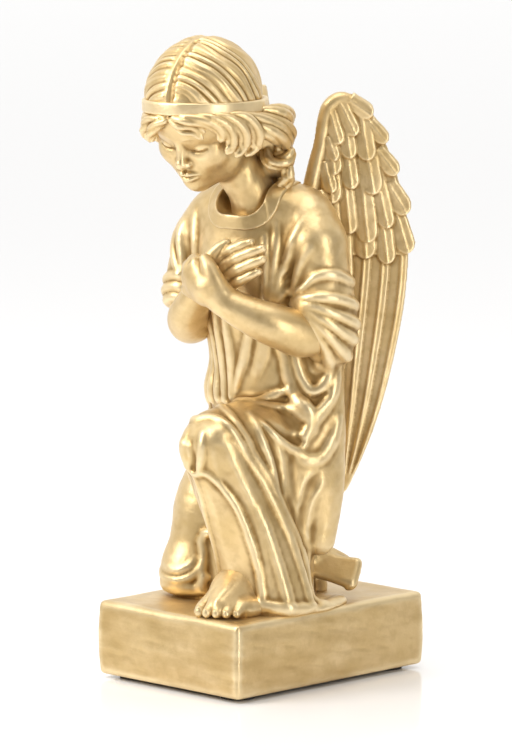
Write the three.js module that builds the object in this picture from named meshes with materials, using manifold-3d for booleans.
// A cast resin figurine of a kneeling child angel on a block plinth, assembled from separate castings.
// Millimetres, +Z up. The figure faces -Y, so its left side is +X. The origin is on the surface it stands
// on, under the middle of the whole figurine.
import * as THREE from "three";
import { mergeVertices } from "three/addons/utils/BufferGeometryUtils.js";
import Module from "manifold-3d";

const wasm = await Module();
wasm.setup();

// ---- driving dimensions -------------------------------------------------------------------------------
const GAP = 0.3; // clearance left between castings that meet
const PAD = { radius: 9.5, height: 2, inset: 15 };
const PLINTH = { width: 110, depth: 148, height: 42, edge: 2, corner: 3 };
const COVER = { thickness: 2, rim: 6 }; // board let into the underside of the plinth, over the screws
const SCREW = { shank: 2, head: 4.2, headHeight: 2.6, length: 30 };
const WASHER = { radius: 6, thickness: 1 };
const SCREW_WELL = { radius: 8, ceiling: 15 }; // ceiling: resin left between the well and the figure
const SCREW_Y = [-22, 38]; // the two screws that hold the figure, on x = 0
const DOWEL_RADIUS = 2.5;

const UNDERSIDE = PAD.height; // underside of the plinth
const GROUND = PAD.height + PLINTH.height; // top of the plinth, which the figure kneels on
const SEAT = GROUND - SCREW_WELL.ceiling; // the washers bear up against the end of each well

// Landmarks of the body.
const HIP = { left: [15, 9, 134], right: [-15, 6, 128] };
const KNEE = { left: [14, -47, 136], right: [-33, -25, 62] };
const SHOULDER = { left: [32, 4, 248], right: [-33, -8, 246] };
const ELBOW = { left: [43, 2, 200], right: [-38, -15, 200] };
const WRIST = { left: [13, -45, 211], right: [-12, -39, 219] };
const HEAD = { centre: [-5, -39, 322], pitch: 30, yaw: 10, roll: 4 };
const NECK = { low: [1, -9, 262], high: [-2, -25, 294], radius: 13 };
const BAND = { rx: 33.5, ry: 37.5, rise: -2, height: 7, thickness: 2.5 }; // rise: from the head's centre
const RIGHT_SOLE = {
  heel: [[22.5, 28, 65], [22.5, 19, 57.5]],
  ball: [[37.5, 38, 62], [40, 31, 51.5]],
  thickness: 6,
};
const WING = { root: [19, 18, 262], fan: 45, thickness: 4.5 }; // fan: angle between a wing and the spine

// ---- shape helpers ------------------------------------------------------------------------------------
const rad = THREE.MathUtils.degToRad;
const at = (p) => new THREE.Vector3(...p);

/** A closed geometry as a manifold-3d solid. */
function solid(geometry) {
  const bare = new THREE.BufferGeometry().setAttribute("position", geometry.getAttribute("position"));
  bare.setIndex(geometry.index);
  const merged = mergeVertices(bare, 1e-4);
  const mesh = { numProp: 3, vertProperties: merged.attributes.position.array };
  return new wasm.Manifold(new wasm.Mesh({ ...mesh, triVerts: new Uint32Array(merged.index.array) }));
}

/** A manifold-3d solid as a geometry for a mesh. */
function geometryOf(made) {
  const mesh = made.getMesh();
  const geometry = new THREE.BufferGeometry();
  geometry.setAttribute("position", new THREE.BufferAttribute(mesh.vertProperties, 3));
  geometry.setIndex(new THREE.BufferAttribute(mesh.triVerts, 1));
  const flat = geometry.toNonIndexed();
  flat.computeVertexNormals();
  return flat;
}

const join = (...parts) => parts.reduce((sum, part) => sum.add(part));

/** The outer body alone, without trapped voids between joined parts or slivers left by a cut. */
const whole = (made) => made.decompose().reduce((a, b) => (b.volume() > a.volume() ? b : a));

/** Turns a geometry made along +Z so that it runs from one point to another. */
function lay(geometry, from, to) {
  const along = at(to).sub(at(from)).normalize();
  const turn = new THREE.Quaternion().setFromUnitVectors(new THREE.Vector3(0, 0, 1), along);
  return geometry.applyQuaternion(turn).translate(...from);
}

/** A round-ended limb that tapers from one radius to another. */
function limb(from, to, radiusFrom, radiusTo, sides = 12) {
  const length = at(to).distanceTo(at(from));
  const steps = sides / 4;
  const profile = [];
  for (let i = 0; i <= steps; i++) {
    const a = rad(-90 + (90 * i) / steps);
    profile.push(new THREE.Vector2(radiusFrom * Math.cos(a), radiusFrom * Math.sin(a)));
  }
  for (let i = 0; i <= steps; i++) {
    const a = rad((90 * i) / steps);
    profile.push(new THREE.Vector2(radiusTo * Math.cos(a), length + radiusTo * Math.sin(a)));
  }
  profile[0].x = profile.at(-1).x = 0;
  const lathe = new THREE.LatheGeometry(profile, sides).rotateX(Math.PI / 2);
  return solid(lay(lathe, from, to));
}

/** An ellipsoid, turned about its own centre by Euler angles in degrees. */
function egg(centre, radii, turn = [0, 0, 0], sides = 14) {
  const ball = new THREE.SphereGeometry(1, sides, Math.round(sides * 0.6));
  ball.scale(...radii);
  ball.rotateX(rad(turn[0])).rotateY(rad(turn[1])).rotateZ(rad(turn[2]));
  return solid(ball.translate(...centre));
}

/** A straight pin between two points. */
function pin(from, to, radius, sides = 12) {
  const length = at(to).distanceTo(at(from));
  const rod = new THREE.CylinderGeometry(radius, radius, length, sides);
  rod.rotateX(Math.PI / 2).translate(0, 0, length / 2);
  return solid(lay(rod, from, to));
}

function box(size, centre) {
  return solid(new THREE.BoxGeometry(...size).translate(...centre));
}

/** A closed skin through level elliptical sections, lowest first, each { z, x, y, rx, ry, turn }. */
function loft(sections, sides = 24) {
  const rows = sections.length - 1;
  const skin = new THREE.CylinderGeometry(1, 1, rows, sides, rows).rotateX(Math.PI / 2);
  const points = skin.getAttribute("position");
  const up = new THREE.Vector3(0, 0, 1);
  for (let i = 0; i < points.count; i++) {
    const { z, x, y, rx, ry, turn = 0 } = sections[Math.round(points.getZ(i) + rows / 2)];
    const point = new THREE.Vector3(points.getX(i) * rx, points.getY(i) * ry, z);
    point.applyAxisAngle(up, rad(turn));
    points.setXYZ(i, x + point.x, y + point.y, z);
  }
  return solid(skin);
}

/** A rounded rectangle outline, centred on the origin. */
function roundedOutline(width, depth, corner) {
  const x = width / 2;
  const y = depth / 2;
  const shape = new THREE.Shape();
  shape.moveTo(-x + corner, -y);
  shape.lineTo(x - corner, -y).absarc(x - corner, -y + corner, corner, -Math.PI / 2, 0);
  shape.lineTo(x, y - corner).absarc(x - corner, y - corner, corner, 0, Math.PI / 2);
  shape.lineTo(-x + corner, y).absarc(-x + corner, y - corner, corner, Math.PI / 2, Math.PI);
  shape.lineTo(-x, -y + corner).absarc(-x + corner, -y + corner, corner, Math.PI, 1.5 * Math.PI);
  return shape;
}

// ---- plinth, its cover and pads -----------------------------------------------------------------------
function plinth() {
  const { width, depth, height, edge, corner } = PLINTH;
  const bevel = { bevelEnabled: true, bevelSize: edge, bevelThickness: edge, bevelSegments: 2 };
  const outline = roundedOutline(width - 2 * edge, depth - 2 * edge, corner);
  const block = new THREE.ExtrudeGeometry(outline, { depth: height - 2 * edge, curveSegments: 3, ...bevel });
  const rebateDepth = COVER.thickness + GAP;
  const rebate = box(
    [width - 2 * COVER.rim, depth - 2 * COVER.rim, rebateDepth + 1],
    [0, 0, UNDERSIDE + (rebateDepth - 1) / 2],
  );
  let made = solid(block.translate(0, 0, UNDERSIDE + edge)).subtract(rebate);
  for (const y of SCREW_Y) {
    made = made.subtract(pin([0, y, UNDERSIDE], [0, y, SEAT], SCREW_WELL.radius, 20));
    made = made.subtract(pin([0, y, SEAT - 1], [0, y, GROUND + 1], SCREW.shank + GAP));
  }
  return made;
}

function cover() {
  const inset = 2 * (COVER.rim + GAP);
  return box(
    [PLINTH.width - inset, PLINTH.depth - inset, COVER.thickness],
    [0, 0, UNDERSIDE + COVER.thickness / 2],
  );
}

function pad(x, y) {
  return pin([x, y, 0], [x, y, PAD.height - 0.02], PAD.radius, 24);
}

// ---- screws and dowels --------------------------------------------------------------------------------
function washer(y) {
  const high = SEAT - GAP;
  const low = high - WASHER.thickness;
  const hole = pin([0, y, low - 1], [0, y, high + 1], SCREW.shank + GAP);
  return pin([0, y, low], [0, y, high], WASHER.radius, 20).subtract(hole);
}

function screw(y) {
  const under = SEAT - WASHER.thickness - 2 * GAP;
  const head = pin([0, y, under - SCREW.headHeight], [0, y, under], SCREW.head, 16);
  const slot = box([2 * SCREW.head + 1, 1, 1.2], [0, y, under - SCREW.headHeight + 0.4]);
  return join(head, pin([0, y, under - 0.5], [0, y, under + SCREW.length], SCREW.shank)).subtract(slot);
}

const screwHole = (y) => pin([0, y, GROUND - 1], [0, y, SEAT + SCREW.length], SCREW.shank + GAP);

const DOWELS = {
  neck_dowel: { from: [1, -4, 236], to: [-1, -20, 280] },
  left_arm_dowel: { from: [47, 6, 200], to: [32, -15, 201] },
  right_arm_dowel: { from: [-40, -8, 200], to: [-30, -24, 204] },
  left_wing_upper_dowel: { from: [10, 8, 256], to: [24, 23, 260] },
  left_wing_lower_dowel: { from: [10, 8, 238], to: [24, 23, 240] },
  right_wing_upper_dowel: { from: [-10, 8, 256], to: [-24, 23, 260] },
  right_wing_lower_dowel: { from: [-10, 8, 238], to: [-24, 23, 240] },
};

/** Cuts a clearance hole for each named dowel. */
function drill(made, ...names) {
  for (const name of names) {
    const { from, to } = DOWELS[name];
    const end = at(to).sub(at(from)).setLength(GAP);
    const start = at(from).sub(end).toArray();
    made = made.subtract(pin(start, at(to).add(end).toArray(), DOWEL_RADIUS + GAP));
  }
  return made;
}

// ---- robe ---------------------------------------------------------------------------------------------
function robe() {
  const skirt = loft([
    { z: GROUND + 0.02, x: -9, y: 10, rx: 39, ry: 41 },
    { z: 50, x: -9, y: 10, rx: 39, ry: 41 },
    { z: 70, x: -7, y: 9, rx: 37, ry: 37 },
    { z: 100, x: -2, y: 8, rx: 37, ry: 34 },
    { z: 130, x: 2, y: 7, rx: 36, ry: 31 },
    { z: 155, x: 3, y: 5, rx: 34, ry: 27 },
    { z: 180, x: 2, y: 3, rx: 33, ry: 26, turn: 6 },
    { z: 205, x: 1, y: 0, rx: 36, ry: 27, turn: 10 },
    { z: 228, x: 0, y: -2, rx: 39, ry: 27, turn: 10 },
    { z: 248, x: 0, y: -2, rx: 41, ry: 26, turn: 10 },
    { z: 261, x: 0, y: -2, rx: 36, ry: 23, turn: 10 },
    { z: 272, x: 0, y: -1, rx: 27, ry: 19, turn: 10 },
    { z: 280, x: 0, y: 0, rx: 20, ry: 15, turn: 10 },
  ]);
  const hem = loft([
    { z: GROUND + 0.02, x: 30, y: -18, rx: 15, ry: 34, turn: 10 },
    { z: 60, x: 30, y: -17, rx: 15, ry: 32, turn: 10 },
    { z: 90, x: 27, y: -16, rx: 14, ry: 30, turn: 10 },
    { z: 125, x: 25, y: -18, rx: 12, ry: 26, turn: 10 },
    { z: 150, x: 24, y: -18, rx: 6, ry: 14, turn: 10 },
  ], 16); // cloth that sweeps from the knee to the left of the foot
  const shinDrape = loft([
    { z: 56, x: 22, y: -30, rx: 20, ry: 17, turn: 8 },
    { z: 80, x: 19, y: -35, rx: 20, ry: 18, turn: 8 },
    { z: 110, x: 15, y: -42, rx: 20, ry: 20, turn: 8 },
    { z: 136, x: 13, y: -46, rx: 20, ry: 21, turn: 8 },
    { z: 152, x: 13, y: -44, rx: 14, ry: 15, turn: 8 },
    { z: 157, x: 13, y: -42, rx: 7, ry: 8, turn: 8 },
  ], 16);
  const body = join(
    skirt,
    hem,
    shinDrape,
    limb(HIP.left, KNEE.left, 26, 21, 16), // left thigh, carried level
    limb(HIP.right, KNEE.right, 25, 19, 16), // right thigh, down to the knee on the plinth
    limb([-33, -26, 64], [-22, 40, 60], 17, 14),
    limb([43, 10, 190], [42, 7, 112], 9, 10.5), // the mantle that hangs from the left elbow
    limb([42, 7, 112], [40, 5, 81], 10.5, 9.4),
    limb(SHOULDER.left, ELBOW.left, 17, 16.5), // sleeves
    limb(SHOULDER.right, ELBOW.right, 17, 15.5),
  );
  const below = box([200, 200, 60], [0, 0, GROUND + 0.02 - 30]);
  const core = loft([
    { z: 62, x: -1, y: 10, rx: 17, ry: 17 },
    { z: 100, x: 2, y: 10, rx: 17, ry: 17 },
    { z: 150, x: 2, y: 5, rx: 16, ry: 14 },
    { z: 205, x: 1, y: 0, rx: 15, ry: 11, turn: 10 },
    { z: 222, x: 0, y: -1, rx: 8, ry: 6, turn: 10 },
  ], 12);
  const neckline = egg([2, -24, 281], [21, 20, 23]);
  const pourHole = pin([0, 10, GROUND - 1], [0, 10, 64], 13, 20);
  let made = body.subtract(below).subtract(core).subtract(pourHole).subtract(neckline);
  for (const y of SCREW_Y) made = made.subtract(screwHole(y));
  return made;
}

// ---- arms ---------------------------------------------------------------------------------------------
/** Four fingers and a thumb, each from its knuckle to its tip. */
function fingers(list, radius, grow) {
  return join(...list.map(([knuckle, tip, r = radius]) => limb(knuckle, tip, r + grow, r * 0.85 + grow, 8)));
}

function leftForearm(grow = 0) {
  const hand = egg([-4, -51, 224], [12 + grow, 7.5 + grow, 10 + grow], [10, 20, 20]);
  const held = [
    [[-12, -50, 232], [-20, -44, 235]],
    [[-14, -50, 226], [-23, -43, 226]],
    [[-14, -49, 220], [-24, -41, 218]],
    [[-12, -48, 214], [-22, -40, 211]],
    [[-2, -51, 231], [-8, -49, 239], 3.4],
  ];
  return join(
    limb([38, -11, 200], WRIST.left, 12 + grow, 8 + grow),
    limb(WRIST.left, [-2, -51, 222], 8 + grow, 8 + grow),
    hand,
    fingers(held, 3.1, grow),
  );
}

function rightForearm(grow = 0) {
  const palm = egg([3, -35, 234], [13 + grow, 5.5 + grow, 11 + grow], [0, 0, 12]);
  const spread = [
    [[9, -35, 243], [22, -31, 250]],
    [[11, -35, 238], [27, -30, 246]],
    [[12, -35, 233], [29, -30, 240]],
    [[11, -35, 227], [27, -31, 233]],
    [[0, -36, 243], [8, -34, 253], 3],
  ];
  return join(
    limb([-36, -20, 201], WRIST.right, 12.5 + grow, 8 + grow),
    limb(WRIST.right, [0, -36, 232], 8 + grow, 6.5 + grow),
    palm,
    fingers(spread, 3, grow),
  );
}

// ---- feet ---------------------------------------------------------------------------------------------
function leftFoot(grow = 0) {
  const toes = [];
  for (let i = 0; i < 5; i++) {
    const x = 17 + 5.6 * i;
    const reach = -64.5 + 1.1 * i * i * 0.45;
    const r = i === 0 ? 4.2 : 3.3 - 0.15 * i;
    toes.push([[x, -52, GROUND + r + 2], [x - 1, reach + r, GROUND + r + 0.1], r]);
  }
  const sole = egg([27, -44, GROUND + 7], [14 + grow, 20 + grow, 9 + grow], [12, 0, 4]);
  const ground = box([100, 100, 30], [27, -44, GROUND + 0.02 - 15]);
  return join(
    sole,
    limb([25, -36, GROUND + 14], [23, -36, 82], 12 + grow, 11 + grow),
    fingers(toes, 3, grow),
  ).subtract(ground);
}

/** The trailing foot, on its side with the flat sole turned up and outwards and the toes on the plinth. */
function rightFoot(grow = 0) {
  const { heel, ball, thickness } = RIGHT_SOLE;
  const r = thickness / 2 + grow;
  const across = ([from, to], t) => at(from).lerp(at(to), t).toArray();
  const parts = [];
  const strips = 6;
  for (let i = 0; i <= strips; i++) {
    parts.push(limb(across(heel, i / strips), across(ball, i / strips), r, r, 8));
  }
  const toes = 5;
  for (let i = 0; i < toes; i++) {
    const knuckle = across(ball, (i + 0.5) / toes);
    const tip = [knuckle[0], knuckle[1] - 3, (knuckle[2] + GROUND + r) / 2];
    parts.push(limb(knuckle, tip, r, 0.8 * r, 8));
  }
  const ankle = limb([12, 22, 61], [31, 37, 59], 11 + grow, 5 + grow);
  const ground = box([100, 100, 30], [25, 30, GROUND + 0.02 - 15]);
  return join(ankle, ...parts).subtract(ground);
}

// ---- head ---------------------------------------------------------------------------------------------
/** Places a solid, made about the head's own centre with its face towards -Y, on the bowed head. */
function onHead(made) {
  const turn = new THREE.Matrix4().makeRotationZ(rad(HEAD.yaw));
  turn.multiply(new THREE.Matrix4().makeRotationX(rad(HEAD.pitch)));
  turn.multiply(new THREE.Matrix4().makeRotationY(rad(HEAD.roll)));
  const place = new THREE.Matrix4().makeTranslation(...HEAD.centre).multiply(turn);
  return made.transform(place.elements);
}

function head(grow = 0) {
  const g = grow;
  const face = join(
    egg([0, -6, -8], [25 + g, 27 + g, 32 + g]),
    limb([0, -17, -22], [0, -20, -30], 15 + g, 10 + g), // jaw and chin
    limb([0, -31, -4], [0, -37, -14], 2 + g, 4 + g, 8), // nose
    limb([-5, -29, -23.5], [5, -29, -23.5], 3 + g, 3 + g, 8), // lips
  );
  const hair = [egg([0, 1, 6], [32 + g, 35 + g, 33 + g])];
  const curls = 10;
  for (let i = 0; i < curls; i++) {
    const a = rad(-200 + (220 / (curls - 1)) * i); // from one ear round the brow to the other
    const z = 5 - 8 * Math.abs(Math.cos(a));
    hair.push(egg([28 * Math.cos(a), 2 + 29 * Math.sin(a), z], [8.5 + g, 8.5 + g, 9 + g], [0, 0, 0], 8));
  }
  const locks = [
    egg([9, -5, 303], [16 + g, 15 + g, 14 + g]),
    egg([15, -3, 291], [11 + g, 11 + g, 12 + g]),
    egg([-14, -6, 297], [12 + g, 12 + g, 13 + g]),
    limb([19, 0, 288], [21, -1, 275], 6 + g, 5 + g, 8), // ringlet on the left shoulder
  ];
  const bust = egg([3, -14, 262], [17 + g, 13 + g, 13 + g], [-12, 0, 10]); // bare skin inside the neckline
  const neck = limb(NECK.low, NECK.high, NECK.radius + g, NECK.radius + g);
  return join(onHead(join(face, ...hair)), neck, bust, ...locks);
}

/** The flat fillet round the hair; it lies level, because the head is bowed. */
function headband(grow = 0) {
  const [x, y, z] = HEAD.centre;
  const ring = { x, y, turn: HEAD.yaw };
  const low = z + BAND.rise;
  const high = low + BAND.height;
  const outer = loft([
    { ...ring, z: low - grow, rx: BAND.rx + grow, ry: BAND.ry + grow },
    { ...ring, z: high + grow, rx: BAND.rx - 0.5 + grow, ry: BAND.ry - 0.5 + grow },
  ]);
  const inner = loft([
    { ...ring, z: low - 1, rx: BAND.rx - BAND.thickness, ry: BAND.ry - BAND.thickness },
    { ...ring, z: high + 1, rx: BAND.rx - BAND.thickness - 0.5, ry: BAND.ry - BAND.thickness - 0.5 },
  ]);
  return outer.subtract(inner);
}

// ---- wings --------------------------------------------------------------------------------------------
/** The folded wing's outline in its own plane: x outwards from the spine, y up from the root. */
function wingOutline() {
  const shape = new THREE.Shape();
  shape.moveTo(-6, -20);
  shape.quadraticCurveTo(-4, 20, 3, 42);
  shape.quadraticCurveTo(2, 66, 15, 66);
  shape.quadraticCurveTo(34, 64, 45, 39);
  shape.quadraticCurveTo(60, 2, 56, -34);
  shape.quadraticCurveTo(54, -72, 36, -124);
  shape.quadraticCurveTo(26, -150, 12, -170);
  shape.quadraticCurveTo(2, -130, -2, -90);
  shape.quadraticCurveTo(-2, -60, -6, -20);
  return shape;
}

/** The raised bed of short feathers below the bend of the wing. */
function covertOutline() {
  const shape = new THREE.Shape();
  shape.moveTo(0, -24);
  shape.quadraticCurveTo(2, 14, 6, 40);
  shape.quadraticCurveTo(8, 58, 17, 59);
  shape.quadraticCurveTo(32, 56, 41, 34);
  shape.quadraticCurveTo(53, 6, 52, -26);
  shape.quadraticCurveTo(34, -8, 22, -28);
  shape.quadraticCurveTo(10, -50, 0, -24);
  return shape;
}

function plate(outline, thickness) {
  const bevel = { bevelEnabled: true, bevelSize: 0.8, bevelThickness: 0.8, bevelSegments: 1 };
  const slab = new THREE.ExtrudeGeometry(outline, { depth: thickness - 1.6, curveSegments: 5, ...bevel });
  return slab.translate(0, 0, 0.8 - thickness / 2);
}

/** Stands a solid made in the wing's plane on the back; side is 1 on the left, -1 on the right. */
function onBack(geometry, side) {
  geometry.rotateX(Math.PI / 2).rotateZ(rad(WING.fan)).translate(...WING.root);
  const made = solid(geometry);
  return side > 0 ? made : made.mirror([1, 0, 0]);
}

function wing(side, grow = 0) {
  const along = [[-3, -16], [0, 14], [5, 42], [15, 60], [30, 55], [42, 36]]; // the leading edge
  const width = [7, 7, 6, 5.5, 4, 2.8];
  const parts = [
    onBack(plate(wingOutline(), WING.thickness + 2 * grow), side),
    onBack(plate(covertOutline(), WING.thickness + 4 + 2 * grow), side),
  ];
  const inPlane = ([x, y]) => {
    const c = Math.cos(rad(WING.fan));
    return [side * (WING.root[0] + c * x), WING.root[1] + c * x, WING.root[2] + y];
  };
  for (let i = 0; i + 1 < along.length; i++) {
    parts.push(limb(inPlane(along[i]), inPlane(along[i + 1]), width[i] + grow, width[i + 1] + grow, 8));
  }
  return join(...parts);
}

// ---- assembly -----------------------------------------------------------------------------------------
const gold = new THREE.MeshStandardMaterial({ color: 0xd9b76a, roughness: 0.35, metalness: 0.85 });
const rubber = new THREE.MeshStandardMaterial({ color: 0x26221f, roughness: 0.9, metalness: 0 });
const steel = new THREE.MeshStandardMaterial({ color: 0xb8bbc0, roughness: 0.35, metalness: 1 });
const board = new THREE.MeshStandardMaterial({ color: 0x3b2f24, roughness: 0.8, metalness: 0 });

const figurine = new THREE.Group();

function place(name, made, material) {
  const mesh = new THREE.Mesh(geometryOf(whole(made)), material);
  mesh.name = name;
  figurine.add(mesh);
}

const leftArm = leftForearm();
const rightArm = rightForearm().subtract(leftForearm(GAP));
const bareHead = head().subtract(headband(GAP));

const body = robe()
  .subtract(leftForearm(GAP))
  .subtract(rightForearm(GAP))
  .subtract(leftFoot(GAP))
  .subtract(rightFoot(GAP))
  .subtract(head(GAP))
  .subtract(wing(1, GAP))
  .subtract(wing(-1, GAP));

place("plinth", plinth(), gold);
place("underside_cover", cover(), board);
const padX = PLINTH.width / 2 - PAD.inset;
const padY = PLINTH.depth / 2 - PAD.inset;
place("foot_pad_front_left", pad(padX, -padY), rubber);
place("foot_pad_front_right", pad(-padX, -padY), rubber);
place("foot_pad_rear_left", pad(padX, padY), rubber);
place("foot_pad_rear_right", pad(-padX, padY), rubber);
place("screw_front", screw(SCREW_Y[0]), steel);
place("screw_rear", screw(SCREW_Y[1]), steel);
place("washer_front", washer(SCREW_Y[0]), steel);
place("washer_rear", washer(SCREW_Y[1]), steel);
place("robe_body", drill(body, ...Object.keys(DOWELS)), gold);
place("left_foot", leftFoot(), gold);
place("right_foot", rightFoot(), gold);
place("left_forearm", drill(leftArm, "left_arm_dowel"), gold);
place("right_forearm", drill(rightArm, "right_arm_dowel"), gold);
place("head", drill(bareHead, "neck_dowel"), gold);
place("headband", headband(), gold);
for (const [name, side] of [["left", 1], ["right", -1]]) {
  const made = wing(side).subtract(head(GAP));
  place(`${name}_wing`, drill(made, `${name}_wing_upper_dowel`, `${name}_wing_lower_dowel`), gold);
}
for (const [name, { from, to }] of Object.entries(DOWELS)) {
  place(name, pin(from, to, DOWEL_RADIUS), steel);
}

export default figurine;
